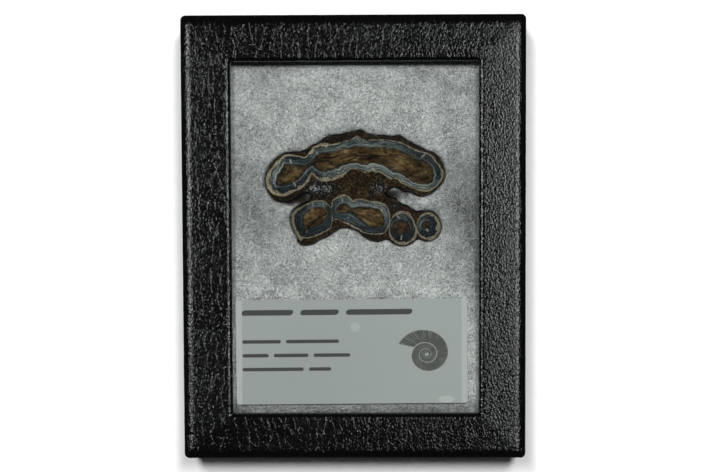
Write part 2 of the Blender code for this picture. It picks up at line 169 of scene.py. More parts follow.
# How the enamel looks round the plates: x, y, share of the band that is cream, brightness of the
# rest from blue-black to pale grey, strength of the pale line next to the dentine, and how pale
# the cream is.
ENAMEL_STATIONS = [
    (-20.6, 15.5, 0.29, 0.62, 1.0, 0.95), (-18.3, 18.6, 0.32, 0.60, 1.0, 0.95),
    (-20.4, 12.3, 0.35, 0.33, 0.5, 0.8), (-17.9, 10.6, 0.36, 0.05, 0.0, 0.7),
    (-14.3, 11.6, 0.34, 0.10, 0.2, 0.7), (-15.3, 19.4, 0.15, 0.22, 0.1, 0.7),
    (-12.2, 19.2, 0.14, 0.20, 0.1, 0.7), (-11.3, 14.2, 0.27, 0.18, 0.3, 0.7),
    (-9.6, 21.3, 0.30, 0.35, 0.2, 0.85), (-7.2, 22.5, 0.38, 0.40, 0.2, 0.85),
    (-4.2, 22.4, 0.14, 0.42, 0.2, 0.55), (0.6, 23.8, 0.10, 0.46, 0.3, 0.55),
    (5.0, 23.3, 0.10, 0.50, 0.3, 0.55), (9.8, 22.8, 0.10, 0.38, 0.1, 0.55),
    (13.5, 21.4, 0.14, 0.22, 0.1, 0.55), (16.8, 20.0, 0.14, 0.18, 0.1, 0.6),
    (19.9, 17.8, 0.23, 0.16, 0.3, 0.3), (21.0, 15.4, 0.30, 0.18, 0.5, 0.28),
    (19.9, 12.7, 0.26, 0.38, 0.4, 0.4), (17.0, 11.8, 0.20, 0.55, 0.5, 0.6),
    (13.3, 12.9, 0.20, 0.60, 0.5, 0.6), (9.8, 14.7, 0.17, 0.56, 0.7, 0.6),
    (6.8, 16.1, 0.16, 0.55, 0.8, 0.6), (3.2, 16.3, 0.15, 0.60, 0.9, 0.6),
    (0.0, 17.0, 0.17, 0.57, 0.6, 0.6), (-2.9, 15.6, 0.26, 0.52, 0.3, 0.7),
    (-6.4, 14.4, 0.35, 0.44, 0.3, 0.7), (-9.2, 15.4, 0.27, 0.24, 0.3, 0.7),
    (-14.7, 4.4, 0.26, 0.05, 0.1, 0.32), (-13.6, 0.4, 0.24, 0.04, 0.0, 0.4),
    (-13.1, 6.9, 0.24, 0.12, 0.1, 0.32), (-10.0, 8.3, 0.20, 0.36, 0.2, 0.35),
    (-7.2, 8.4, 0.18, 0.40, 0.2, 0.35), (-6.0, 4.0, 0.06, 0.16, 0.0, 0.5),
    (-9.2, 1.0, 0.16, 0.10, 0.0, 0.5), (-11.8, 0.5, 0.20, 0.04, 0.0, 0.5),
    (-6.0, 6.4, 0.06, 0.14, 0.0, 0.5), (-4.5, 8.7, 0.20, 0.24, 0.2, 0.5),
    (-2.7, 9.7, 0.26, 0.36, 0.2, 0.5), (-0.1, 8.4, 0.23, 0.50, 0.2, 0.5),
    (2.8, 8.6, 0.26, 0.56, 0.3, 0.5), (5.8, 7.9, 0.27, 0.60, 0.3, 0.5),
    (8.0, 6.0, 0.21, 0.50, 0.2, 0.5), (8.2, 3.6, 0.18, 0.36, 0.1, 0.5),
    (6.8, 1.5, 0.12, 0.14, 0.0, 0.5), (3.4, 1.8, 0.12, 0.18, 0.0, 0.5),
    (0.8, 3.1, 0.14, 0.30, 0.1, 0.5), (-1.8, 4.6, 0.14, 0.30, 0.2, 0.5),
    (-4.4, 5.2, 0.08, 0.22, 0.1, 0.5), (12.1, 5.9, 0.35, 0.30, 0.2, 0.5),
    (9.6, 4.4, 0.26, 0.16, 0.1, 0.5), (9.2, 1.0, 0.23, 0.04, 0.0, 0.5),
    (11.8, -1.0, 0.26, 0.02, 0.0, 0.5), (14.2, 0.4, 0.20, 0.06, 0.0, 0.5),
    (14.3, 3.8, 0.23, 0.16, 0.1, 0.5), (15.7, 3.2, 0.16, 0.40, 0.1, 0.5),
    (17.0, 5.6, 0.23, 0.24, 0.1, 0.5), (20.0, 4.6, 0.35, 0.10, 0.0, 0.55),
    (20.8, 2.0, 0.35, 0.06, 0.0, 0.55), (18.6, -0.4, 0.27, 0.06, 0.0, 0.55),
    (16.2, 0.4, 0.18, 0.14, 0.0, 0.5),
]

# Open pits in the polished face: centre, half sizes, depth, turn in degrees, and share of crystals
PITS = [
    ((-9.6, 12.0), (1.6, 0.9), 1.0, 10, 1.0),
    ((-6.4, 11.9), (1.5, 1.1), 1.3, -15, 0.6),
    ((6.6, 12.1), (0.7, 1.15), 0.9, 30, 0.35),
    ((4.4, 10.7), (0.6, 0.55), 0.5, 0, 0.0),
    ((9.8, 7.5), (0.55, 0.5), 0.7, 0, 0.2),
]


class Value:
    """A node's output, which adds, subtracts and multiplies like a number."""

    def __init__(self, shader, socket):
        self.shader = shader
        self.socket = socket

    def __add__(self, other):
        return self.shader.math("ADD", self, other)

    def __sub__(self, other):
        return self.shader.math("SUBTRACT", self, other)

    def __rsub__(self, other):
        return self.shader.math("SUBTRACT", other, self)

    def __mul__(self, other):
        return self.shader.math("MULTIPLY", self, other)

    def __abs__(self):
        return self.shader.math("ABSOLUTE", self)


class Shader:
    """A node material under construction. Inputs take numbers, colours or other nodes' outputs."""

    def __init__(self, name):
        self.material = bpy.data.materials.new(name)
        self.material.use_nodes = True
        self.tree = self.material.node_tree
        self.tree.nodes.clear()

    def add(self, kind, inputs, out=0, **settings):
        node = self.tree.nodes.new("ShaderNode" + kind)
        for key, value in settings.items():
            setattr(node, key, value)
        for key, value in inputs.items():
            if isinstance(value, Value):
                self.tree.links.new(value.socket, node.inputs[key])
            else:
                node.inputs[key].default_value = value
        return Value(self, node.outputs[out])

    def math(self, operation, a, b=0.0):
        return self.add("Math", {0: a, 1: b}, operation=operation)

    def step(self, value, low, high, to_low=0.0, to_high=1.0):
        """A smooth step of a value between two edges."""
        inputs = {"Value": value, "From Min": low, "From Max": high, "To Min": to_low, "To Max": to_high}
        return self.add("MapRange", inputs, interpolation_type="SMOOTHSTEP")

    def mix(self, factor, a, b, blend="MIX"):
        return self.add("Mix", {0: factor, 6: a, 7: b}, out=2, data_type="RGBA", blend_type=blend)

    def tinted(self, factor, colour, by):
        """A colour multiplied by another one, as strongly as a factor says."""
        return self.mix(factor, colour, self.mix(1.0, colour, by, "MULTIPLY"))

    def ramp(self, factor, stops):
        node = self.tree.nodes.new("ShaderNodeValToRGB")
        self.tree.links.new(factor.socket, node.inputs[0])
        elements = node.color_ramp.elements
        while len(elements) < len(stops):
            elements.new(0.5)
        for element, (position, colour) in zip(elements, stops):
            element.position = position
            element.color = (*colour, 1.0)
        return Value(self, node.outputs[0])

    def attribute(self, name):
        return self.add("Attribute", {}, out=2, attribute_name=name)

    def place(self):
        """Position in the object's own frame, in metres."""
        return self.add("TexCoord", {}, out=3)

    def vector(self, x, y=0.0, z=0.0):
        return self.add("CombineXYZ", {0: x, 1: y, 2: z})

    def axis(self, vector, number):
        return self.add("SeparateXYZ", {0: vector}, out=number)

    def vector_math(self, operation, a, b):
        return self.add("VectorMath", {0: a, 1: b}, operation=operation)

    def scaled(self, vector, scale):
        return self.add("Mapping", {"Vector": vector, "Scale": scale})

    def shift(self, vector, amount, size):
        """Moves a vector by a colour around mid grey, up to a size on each axis."""
        centred = self.vector_math("SUBTRACT", amount, (0.5, 0.5, 0.5))
        return self.vector_math("ADD", vector, self.vector_math("MULTIPLY", centred, size))

    def noise(self, vector, scale, detail=3.0, roughness=0.5, distortion=0.0, out=0):
        """Smooth noise: a level, or a colour where out is 1."""
        inputs = {"Vector": vector, "Scale": scale, "Detail": detail, "Roughness": roughness}
        return self.add("TexNoise", {**inputs, "Distortion": distortion}, out=out)

    def bump(self, height, distance, strength=1.0):
        return self.add("Bump", {"Height": height, "Distance": distance, "Strength": strength})

    def surface(self, **inputs):
        """Ends the material in a Principled shader. Names use _ for a space."""
        renamed = {key.replace("_", " "): value for key, value in inputs.items()}
        self.end(self.add("BsdfPrincipled", renamed))
        return self.material

    def end(self, shader):
        output = self.tree.nodes.new("ShaderNodeOutputMaterial")
        self.tree.links.new(shader.socket, output.inputs["Surface"])
        return self.material


def grey(value, tint=(1.0, 1.0, 1.0)):
    return (value * tint[0], value * tint[1], value * tint[2], 1.0)


def creases(s, place, cell, width, depth):
    """Grooves between long cells: cell sizes and depth in millimetres, width as a share of a cell."""
    size = (1 / cell[0], 1 / cell[1], 1 / cell[1])
    edge = s.add("TexVoronoi", {"Vector": s.scaled(place, size), "Scale": 1.0}, feature="DISTANCE_TO_EDGE")
    strength = s.step(s.noise(place, 0.9 / cell[0]**0.5, detail=1.0), 0.38, 0.58, 0.1, 1.0)
    return s.step(edge, 0.0, width, -depth, 0.0) * strength


# The leather's grain: sizes in millimetres, the width as a share of a cell
CREASE_CELL = (1.8, 4.2)
CREASE_WIDTH = 0.070
CREASE_DEPTH = 0.036
PEBBLES_A_MM = 2.2
PEBBLE_HEIGHT = 0.114
CREASE_SLANT = -0.0007  # how the creases bend towards one corner
LEATHER_BLACKS = (grey(0.0006), grey(0.0020, (1.0, 1.03, 1.04)))


def leatherette(name, gloss_low, gloss_high):
    """Black embossed paper: zigzag creases along Y, and a fine pebble between them."""
    s = Shader(name)
    place = s.scaled(s.place(), (1 / MM, 1 / MM, 1 / MM))
    slow = s.noise(place, 0.04, detail=1.0, out=1)
    quick = s.noise(place, 1.0, detail=2.0, out=1)
    bent = s.shift(s.shift(place, slow, (5.0, 0.0, 0.0)), quick, (0.8, 0.6, 0.6))
    corner = s.math("MAXIMUM", s.axis(place, 0) - s.axis(place, 1) + 5.0, 0.0)
    bent = s.vector_math("ADD", bent, s.vector(s.math("POWER", corner, 2.0) * CREASE_SLANT))
    pebble = s.noise(s.scaled(place, (1.0, 0.75, 0.75)), PEBBLES_A_MM, detail=1.4, roughness=0.6)
    height = creases(s, bent, CREASE_CELL, CREASE_WIDTH, CREASE_DEPTH) + pebble * PEBBLE_HEIGHT
    roughness = s.step(s.noise(place, 0.09, detail=4.0), 0.3, 0.7, gloss_low, gloss_high)
    colour = s.mix(s.step(pebble, 0.35, 0.7), *LEATHER_BLACKS)
    return s.surface(Base_Color=colour, Roughness=roughness, IOR=1.5, Normal=s.bump(height, MM))


def glass():
    """A clear pane that lets lamps through, with a mirror share that grows towards grazing."""
    s = Shader("window_pane")
    facing = s.add("LayerWeight", {"Blend": 0.5}, out=1)
    mirror = s.math("POWER", facing, 5.0) * 0.9 + 0.035
    haze = s.noise(s.place(), 35.0, detail=3.0)
    clear = s.add("BsdfTransparent", {"Color": (0.955, 0.97, 0.962, 1.0)})
    gloss = s.add("BsdfGlossy", {"Color": grey(0.9), "Roughness": s.step(haze, 0.3, 0.8, 0.015, 0.05)})
    return s.end(s.add("MixShader", {0: mirror, 1: clear, 2: gloss}))


def batting_base():
    """The dense underlayer of the batting, with painted shade: darker the deeper it lies below the glass."""
    s = Shader("batting_underlayer")
    place = s.place()
    painted_light = s.attribute("painted_light")
    cloud = s.noise(place, 190.0, detail=4.0, roughness=0.6)
    strand = s.noise(place, 2600.0, detail=4.0, roughness=0.7, distortion=1.2)
    level = s.step(cloud * 0.24 + strand * 0.76, 0.41, 0.59)
    # deep is a painted-shade copy of the underlayer for batting deep in the pad; near is the lit copy where
    # it lies on the glass
    deep = s.mix(level, grey(0.05, (0.96, 1.0, 1.0)), grey(0.24, (0.98, 1.0, 1.0)))
    near = s.mix(level, grey(0.15, (0.99, 1.0, 1.0)), grey(0.82))
    # the dark brown mix in the slice's nooks is painted shade
    colour = s.mix(s.attribute("nook_shade"), s.mix(painted_light, deep, near), (0.016, 0.013, 0.010, 1))
    return s.surface(Base_Color=colour, Roughness=0.95, IOR=1.4, Normal=s.bump(strand, 0.0004, 0.8))


def batting_fibre():
    """Fine polyester fibres: white, slightly shiny, some thicker and brighter, with painted shade that dims
    them deep in the pad.
    """
    s = Shader("batting_fibre")
    tone = s.attribute("tone")
    shade = s.noise(s.place(), 900.0, detail=3.0)
    lit = s.mix(tone, grey(0.36, (0.98, 1.0, 0.99)), grey(1.0, (0.99, 1.0, 0.99)))
    lit = s.mix(s.step(shade, 0.35, 0.65, 0.45, 0.0), lit, grey(0.20))
    # deep is a painted-shade copy of the fibres' colour deep in the pad; lit is the copy on the glass
    deep = s.mix(tone, grey(0.12, (0.97, 1.0, 1.0)), grey(0.60, (0.98, 1.0, 1.0)))
    return s.surface(Base_Color=s.mix(s.attribute("painted_light"), deep, lit), Roughness=0.5, IOR=1.45)


class Face:
    """What the polished face's materials share: the slice's fields and two noises."""

    def __init__(self, s):
        for name in ("band", "arc", "cream", "bright", "line", "pale", "ruddy", "depth"):
            setattr(self, name, s.attribute(name))
        self.place = s.place()
        self.along = s.noise(s.vector(self.arc, 1.0), 0.55, detail=3.0, roughness=0.6)
        self.cream_share = self.cream * s.step(self.along, 0.30, 0.70, 0.68, 1.36)
        self.fine = s.noise(self.place, 2600.0, detail=5.0, roughness=0.7)
        self.medium = s.noise(self.place, 700.0, detail=4.0, roughness=0.6)


def warm_enamel(s, face, across, grain):
    """The cream share of the enamel, with a yellow line on its inner edge where it is dull."""
    warm = s.ramp(grain, [
        (0.36, (0.05, 0.034, 0.020)), (0.45, (0.18, 0.142, 0.092)), (0.54, (0.335, 0.288, 0.205)),
        (0.64, (0.50, 0.47, 0.38))])
    dull = s.mix(1.0, warm, grey(0.14, (1.0, 0.93, 0.84)), "MULTIPLY")
    warm = s.mix(face.pale, dull, warm)
    warm = s.tinted(s.step(face.along, 0.34, 0.62, 0.35, 0.0), warm, (0.52, 0.44, 0.34, 1))
    inner_line = s.step(abs(across - face.cream_share + 0.07), 0.02, 0.07, 0.5, 0.0)
    return s.mix(inner_line * (1.0 - face.pale), warm, (0.27, 0.245, 0.18, 1))


def cool_enamel(s, face, growth):
    """The rest of the enamel, banded from blue-black to pale grey by its growth lines."""
    swing = (s.step(growth, 0.36, 0.64) - 0.5) * (face.bright * 1.15 + 0.14)
    return s.ramp(face.bright + swing, [
        (0.0, (0.006, 0.008, 0.010)), (0.25, (0.024, 0.030, 0.032)), (0.5, (0.062, 0.078, 0.079)),
        (0.75, (0.128, 0.142, 0.130)), (1.0, (0.29, 0.30, 0.265))])


def enamel(s, face):
    """Enamel: growth lines that follow the plate in scallops, and fine rods that run across it."""
    rods = s.noise(s.vector(face.arc, face.band * 0.55, 3.0), 4.6, detail=3.0, roughness=0.75)
    phase = face.arc * 1.35 + s.noise(s.vector(face.arc, 5.0), 0.3, detail=1.0) * 2.6
    scallop = (abs(s.math("SINE", phase)) - 0.62) * (face.bright * 0.17 + 0.04)
    waver = (s.noise(s.vector(face.arc, face.band, 9.0), 1.1, detail=1.5) - 0.5) * 0.12
    across = face.band + waver + scallop
    growth = s.noise(s.vector(face.arc * 0.16, across * 6.5), 1.5, detail=3.0, roughness=0.65)
    warm = warm_enamel(s, face, across, rods * 0.50 + growth * 0.50)
    to_cool = s.step(across - face.cream_share, -0.05, 0.06)
    colour = s.mix(to_cool, warm, cool_enamel(s, face, growth))

    dark_line = 1.0 - s.step(abs(across - (face.cream_share + 0.09)), 0.0, 0.075)
    colour = s.mix(dark_line * 0.85, colour, (0.006, 0.009, 0.012, 1))
    pale_line = (1.0 - s.step(abs(across - 0.82), 0.015, 0.07)) * face.line
    colour = s.mix(pale_line * 0.8, colour, (0.40, 0.42, 0.40, 1))
    colour = s.mix(s.step(across, 0.88, 1.0, 0.0, 0.85), colour, (0.010, 0.012, 0.013, 1))
    rim = 1.0 - s.step(abs(face.band - 0.05), 0.0, 0.06)
    rim_share = (face.pale * 0.4 + 0.2) * s.step(face.along, 0.35, 0.6)
    colour = s.mix(rim * rim_share, colour, (0.27, 0.235, 0.165, 1))
    colour = s.tinted(s.step(rods, 0.30, 0.55, 0.40, 0.0), colour, grey(0.3))
    sparkle = s.step(rods, 0.56, 0.72) * (face.bright * 0.55 + 0.10)
    return s.mix(sparkle, colour, (0.38, 0.40, 0.39, 1))


def dentine(s, face):
    """Dentine: brown, streaked along the plates, with dark seams."""
    depth_in = face.band - 1.0
    streak_place = s.vector(face.arc * 0.40, depth_in * 1.5)
    streaks = s.noise(streak_place, 1.3, detail=3.5, roughness=0.55, distortion=0.8)
    broad = s.noise(s.scaled(face.place, (0.6, 1.0, 1.0)), 300.0, detail=2.0)
    blotches = s.noise(s.scaled(face.place, (0.5, 1.0, 1.0)), 800.0, detail=3.0, distortion=0.6)
    colour = s.ramp(streaks * 0.36 + broad * 0.36 + blotches * 0.28, [
        (0.40, (0.005, 0.0033, 0.002)), (0.455, (0.019, 0.0122, 0.006)),
        (0.515, (0.052, 0.0325, 0.0145)), (0.57, (0.102, 0.064, 0.028)), (0.64, (0.21, 0.14, 0.068))])
    colour = s.mix(s.step(face.medium, 0.36, 0.55, 0.40, 0.0), colour, (0.018, 0.011, 0.006, 1))
    ruddy = s.mix(s.step(face.medium, 0.34, 0.66), (0.012, 0.008, 0.006, 1), (0.062, 0.034, 0.019, 1))
    colour = s.mix(face.ruddy, colour, ruddy)
    worn_in = depth_in + (face.medium - 0.5) * 0.9
    colour = s.mix(s.step(worn_in, -0.1, 0.55, 0.65, 0.0), colour, (0.010, 0.009, 0.008, 1))
    seam = 1.0 - s.step(s.attribute("seam") + face.fine * 0.16, 0.10, 0.34)
    return s.mix(seam * 0.92, colour, (0.004, 0.003, 0.003, 1))


def cement(s, face, grains):
    """Cement: granular and red-brown, blackest on the outer rim, with crystals round the pits."""
    colour = s.ramp(grains * 0.42 + face.medium * 0.58, [
        (0.24, (0.0020, 0.0014, 0.0010)), (0.40, (0.0090, 0.0054, 0.0026)),
        (0.58, (0.026, 0.0145, 0.0064)), (0.80, (0.078, 0.048, 0.022))])
    patch = s.step(s.noise(face.place, 420.0, detail=3.0), 0.38, 0.58, 0.55, 0.0)
    colour = s.tinted(patch, colour, (0.35, 0.33, 0.40, 1))
    soot = s.mix(s.step(face.fine, 0.4, 0.65), (0.003, 0.0022, 0.0018, 1), (0.015, 0.0105, 0.0075, 1))
    colour = s.mix(s.attribute("soot"), colour, soot)
    crumbs = s.step(face.fine, 0.56, 0.66) * s.step(grains, 0.55, 0.8)
    colour = s.mix(crumbs * 0.5, colour, (0.19, 0.15, 0.10, 1))
    glints = s.step(grains, 0.70, 0.9) * s.step(face.fine, 0.42, 0.6)
    druse = s.mix(glints, grey(0.004), (0.24, 0.26, 0.26, 1))
    return s.mix(s.attribute("druse"), colour, druse)


def polished_molar():
    """The polished face: cement, banded enamel and streaked dentine, laid out by the slice's fields."""
    s = Shader("polished_molar")
    face = Face(s)
    cells = s.add("TexVoronoi", {"Vector": face.place, "Scale": 4300.0}, out=1)
    grains = s.add("SeparateColor", {"Color": cells}, out=0)
    nibble = s.step(face.medium, 0.42, 0.66) * 0.13
    colour = s.mix(s.step(face.band - nibble, -0.06, 0.02), cement(s, face, grains), enamel(s, face))
    colour = s.mix(s.step(face.band, 0.985, 1.07), colour, dentine(s, face))
    crack = s.attribute("crack") * s.step(face.fine, 0.30, 0.55, 0.35, 1.0)
    colour = s.mix(crack, colour, (0.50, 0.53, 0.53, 1))
    # painted shade in the pits: their colour darkens where they are deeper
    pit_shade = s.mix(s.step(face.fine, 0.4, 0.7), grey(0.003), grey(0.022))
    colour = s.mix(s.step(face.depth, 0.02, 0.16), colour, pit_shade)
    polish = s.step(face.band + face.depth * -8.0, -0.3, 0.1, 0.15, 0.08)
    relief = face.fine * 0.5 + grains * 0.5
    etched = s.step(face.band, -0.2, 0.1, 0.25, 0.04)
    return s.surface(Base_Color=colour, Roughness=polish, IOR=1.5, Normal=s.bump(relief, 0.00003, etched))


def sawn_side():
    """The slice's rough edge: dark broken cement with paler crumbs."""
    s = Shader("slice_edge")
    place = s.place()
    lumps = s.noise(place, 900.0, detail=6.0, roughness=0.7)
    colour = s.ramp(lumps, [
        (0.30, (0.004, 0.0035, 0.003)), (0.5, (0.018, 0.012, 0.008)), (0.66, (0.050, 0.034, 0.022)),
        (0.85, (0.17, 0.145, 0.105))])
    return s.surface(Base_Color=colour, Roughness=0.72, IOR=1.45, Normal=s.bump(lumps, 0.0003, 0.9))


def crystal():
    """Grey-white glassy crystals."""
    s = Shader("pit_crystal")
    tone = s.noise(s.place(), 3200.0, detail=2.0)
    colour = s.mix(s.step(tone, 0.42, 0.62), (0.012, 0.013, 0.012, 1), (0.42, 0.44, 0.43, 1))
    return s.surface(Base_Color=colour, Roughness=0.12, IOR=1.55)


def card_paper():
    """Laminated grey-white card: a soft gradient, paler margins, and two painted highlights as pale spots on
    the laminate.
    """
    s = Shader("laminated_card")
    place = s.place()
    x = s.axis(place, 0)
    cloud = s.noise(s.scaled(place, (1.0, 1.6, 1.0)), 22.0, detail=1.0)
    tooth = s.noise(place, 2800.0, detail=2.0)
    colour = s.mix(cloud, grey(0.325, (0.955, 1.0, 0.985)), grey(0.40, (0.96, 1.0, 0.99)))
    pale = s.step(x, -0.02755, -0.02735, 1.0, 0.0) + s.step(x, 0.02600, 0.02620)
    # the spots are painted highlights; the margins are the card's own paler edge
    for centre, half, strength in CARD_GLINTS:
        offset = s.vector_math("SUBTRACT", place, (centre[0] * MM, centre[1] * MM, 0.0))
        flat = s.vector_math("MULTIPLY", offset, (1 / (half[0] * MM), 1 / (half[1] * MM), 0.0))
        radius = s.add("VectorMath", {0: flat}, out=1, operation="LENGTH")
        pale = s.math("MAXIMUM", pale, s.step(radius, 0.75, 1.0, strength, 0.0))
    colour = s.mix(pale, colour, grey(0.46, (0.97, 1.0, 0.99)))
    colour = s.mix(s.step(tooth, 0.3, 0.7, 0.08, 0.0), colour, grey(0.22))
    return s.surface(Base_Color=colour, Roughness=0.28, IOR=1.5, Coat_Weight=0.6, Coat_Roughness=0.12,
                     Normal=s.bump(tooth, 0.00003, 0.4))


def printed_ink():
    """The print's dark grey."""
    s = Shader("printed_ink")
    speck = s.step(s.noise(s.place(), 5200.0, detail=2.0), 0.3, 0.75)
    colour = s.mix(speck, grey(0.040, (0.95, 1.0, 1.0)), grey(0.085, (0.97, 1.0, 0.99)))
    return s.surface(Base_Color=colour, Roughness=0.3, IOR=1.5)


def printed_tint():
    """The printed figure's mid grey-brown."""
    s = Shader("printed_tint")
    cloud = s.step(s.noise(s.place(), 700.0, detail=4.0), 0.3, 0.7)
    colour = s.mix(cloud, (0.085, 0.085, 0.076, 1), (0.150, 0.150, 0.135, 1))
    return s.surface(Base_Color=colour, Roughness=0.3, IOR=1.5)


def floor_paper():
    """The white ground."""
    s = Shader("studio_floor")
    tooth = s.step(s.noise(s.place(), 300.0, detail=2.0), 0.3, 0.7)
    return s.surface(Base_Color=s.mix(tooth, grey(0.90), grey(0.92)), Roughness=0.9, IOR=1.3)


def place_piece(obj, stands_for=None):
    """Rides a piece on the case, and hides the node that it stands for."""
    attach(obj, ROOT)
    if stands_for:
        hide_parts(stands_for)
    return obj


def new_object(name, mesh, material):
    obj = bpy.data.objects.new(name, mesh)
    bpy.context.scene.collection.objects.link(obj)
    mesh.materials.append(material)
    return obj


def mesh_object(name, vertices, faces, material):
    """A smooth object from points in millimetres and index lists."""
    mesh = bpy.data.meshes.new(name)
    mesh.from_pydata((np.asarray(vertices, float) * MM).tolist(), [], [list(map(int, f)) for f in faces])
    mesh.validate()
    obj = new_object(name, mesh, material)
    mesh.shade_smooth()
    return obj


def from_bmesh(name, bm, material):
    """An object from an edited mesh in metres."""
    mesh = bpy.data.meshes.new(name)
    bm.to_mesh(mesh)
    bm.free()
    return new_object(name, mesh, material)


def write_attribute(obj, name, values):
    attribute = obj.data.attributes.new(name, "FLOAT", "POINT")
    attribute.data.foreach_set("value", np.asarray(values, np.float32))


def turned(x, y, angle, centre=(0.0, 0.0)):
    """A place turned about the origin and then moved to a centre."""
    return (centre[0] + x * math.cos(angle) - y * math.sin(angle),
            centre[1] + x * math.sin(angle) + y * math.cos(angle))


def soft_noise(spot):
    """Smooth noise from about 0 to 1."""
    return 0.5 + 0.5 * noise.noise(spot)


def mound(points, centre, half, flatness=1):
    """A soft round rise, 1 at its centre."""
    return np.exp(-(((points - centre) / half) ** 2).sum(1) ** flatness)


def closed_curve(points, steps=6):
    """A closed smooth curve through given points."""
    p = np.array(points, float)
    a, b, c, d = np.roll(p, 1, 0), p, np.roll(p, -1, 0), np.roll(p, -2, 0)
    rows = []
    for step in range(steps):
        t = step / steps
        rows.append(0.5 * (2 * b + (c - a) * t + (2 * a - 5 * b + 4 * c - d) * t**2
                           + (3 * b - a - 3 * c + d) * t**3))
    return np.stack(rows, 1).reshape(-1, 2)


def path_distance(points, path, closed=True):
    """Distance from each point to a path, and how far along the path the nearest spot is."""
    start = path if closed else path[:-1]
    end = np.roll(path, -1, 0) if closed else path[1:]
    along = end - start
    lengths = np.hypot(*along.T)
    before = np.concatenate([[0], np.cumsum(lengths)[:-1]])
    best = np.full(len(points), np.inf)
    where = np.zeros(len(points))
    for a, d, length, run in zip(start, along, lengths, before):
        share = np.clip((points - a) @ d / max(length**2, 1e-12), 0, 1)
        gap = np.hypot(*(points - a - share[:, None] * d).T)
        closer = gap < best
        best[closer] = gap[closer]
        where[closer] = run + share[closer] * length
    return best, where


def inside(points, path):
    """Whether each point lies in a closed path."""
    x, y = points.T
    result = np.zeros(len(points), bool)
    for (x0, y0), (x1, y1) in zip(path, np.roll(path, -1, 0)):
        if y0 == y1:
            continue
        crosses = (y0 > y) != (y1 > y)
        result ^= crosses & (x < (x1 - x0) * (y - y0) / (y1 - y0) + x0)
    return result


def signed_distance(points, path):
    """Distance to a closed path, above zero inside, and how far along the path the nearest spot is."""
    gap, where = path_distance(points, path)
    return np.where(inside(points, path), gap, -gap), where


def slice_outline():
    """The rim of the CAD slice's polished face, as one closed path in millimetres."""
    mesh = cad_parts["molar_slice"].data
    points = np.array([v.co for v in mesh.vertices]) / MM
    keys = [tuple(np.round(p, 3)) for p in points]
    edges = {}
    for polygon in mesh.polygons:
        corners = [keys[i] for i in polygon.vertices]
        if polygon.normal.z > 0.999 and min(c[2] for c in corners) > DISPLAY_LEVEL - 0.01:
            for a, b in zip(corners, corners[1:] + corners[:1]):
                edges[(a, b)] = True
    border = {a: b for a, b in edges if (b, a) not in edges}
    loops = []
    while border:
        start, here = next(iter(border.items()))
        loop = [start]
        del border[start]
        while here != start and here in border:
            loop.append(here)
            here = border.pop(here)
        loops.append(np.array(loop)[:, :2])
    return max(loops, key=lambda loop: np.ptp(loop[:, 0]))


def rounded_rectangle(width, length, radius, centre, corner_steps, side_steps):
    """Points of a rectangle with round corners and evenly cut sides, anticlockwise."""
    corners = []
    for side_x, side_y, start in ((1, 1, 0), (-1, 1, 90), (-1, -1, 180), (1, -1, 270)):
        middle = np.array(centre) + (side_x * (width / 2 - radius), side_y * (length / 2 - radius))
        angles = np.radians(start + 90 * np.arange(corner_steps + 1) / corner_steps)
        corners.append(middle + radius * np.stack([np.cos(angles), np.sin(angles)], 1))
    points = []
    for i, corner in enumerate(corners):
        following = corners[(i + 1) % 4][0]
        cuts = side_steps[i % 2]
        shares = np.arange(1, cuts)[:, None] / cuts
        points += [corner, corner[-1] + (following - corner[-1]) * shares]
    return np.concatenate(points)


LID_PITCH = 0.36
SKIRT_ROWS = 15
WRINKLE_SIZE = (2.0, 4.8, 2.4)
WRINKLE_DEPTH = 0.03
OUTER_SHOULDER = (2.6, 2.2)  # reach and drop of the rail's rounding towards the outside
INNER_SHOULDER = (1.25, 1.0)
RAIL_RISE = 0.24  # the rails rise this much from their outer to their inner side
RAIL_BOW = 0.30  # how much steeper that rise is outside than inside, as a share
SIDE_FLARE = 0.24  # the covering stands out this far along the long sides' upper edges
# The window as the photo shows it, further out at its far edge than in the solids
SEEN_WINDOW = (WINDOW_SIZE[0] - 0.1, WINDOW_SIZE[1] + 0.95)
SEEN_CENTRE = (WINDOW_CENTRE[0] + 0.05, WINDOW_CENTRE[1] + 0.3)


def shoulder(size, steps):
    """A quarter ellipse from the upright side up to the flat: reach from the side, drop from the flat."""
    angles = np.radians(np.linspace(0, 90, steps))
    return [(size[0] * (1 - math.cos(a)), size[1] * (1 - math.sin(a))) for a in angles]


def wrinkle_depth(point):
    """How far the covering's soft wrinkles lie under its crests, in millimetres."""
    x, y, z = point
    spot = Vector((x / WRINKLE_SIZE[0], y / WRINKLE_SIZE[1], z / WRINKLE_SIZE[2]))
    return WRINKLE_DEPTH * soft_noise(spot + 0.4 * noise.noise_vector(spot * 0.5))


def lid_profile(case_size):
    """The lid's section from the skirt's foot to the window, as share and height, and the skirt's top."""
    rail = (case_size[0] - WINDOW_SIZE[0]) / 2
    flat = LID_HIGH[2] - RAIL_RISE
    skirt_top = flat - OUTER_SHOULDER[1]
    profile = [(0.0, z) for z in np.linspace(LID_LOW[2], skirt_top, SKIRT_ROWS, endpoint=False)]
    profile += [(reach / rail, flat - drop) for reach, drop in shoulder(OUTER_SHOULDER, 13)]
    first, last = OUTER_SHOULDER[0] / rail, 1 - INNER_SHOULDER[0] / rail
    rail_steps = int((last - first) * rail / LID_PITCH)
    for t in np.arange(1, rail_steps) / rail_steps:
        rise = RAIL_RISE * t * (1 + RAIL_BOW * (1 - t))
        profile.append((first + (last - first) * t, flat + rise))
    for reach, drop in reversed(shoulder(INNER_SHOULDER, 9)):
        profile.append((1 - reach / rail, LID_HIGH[2] - drop))
    return profile + [(1.0, LID_UNDERSIDE)], skirt_top


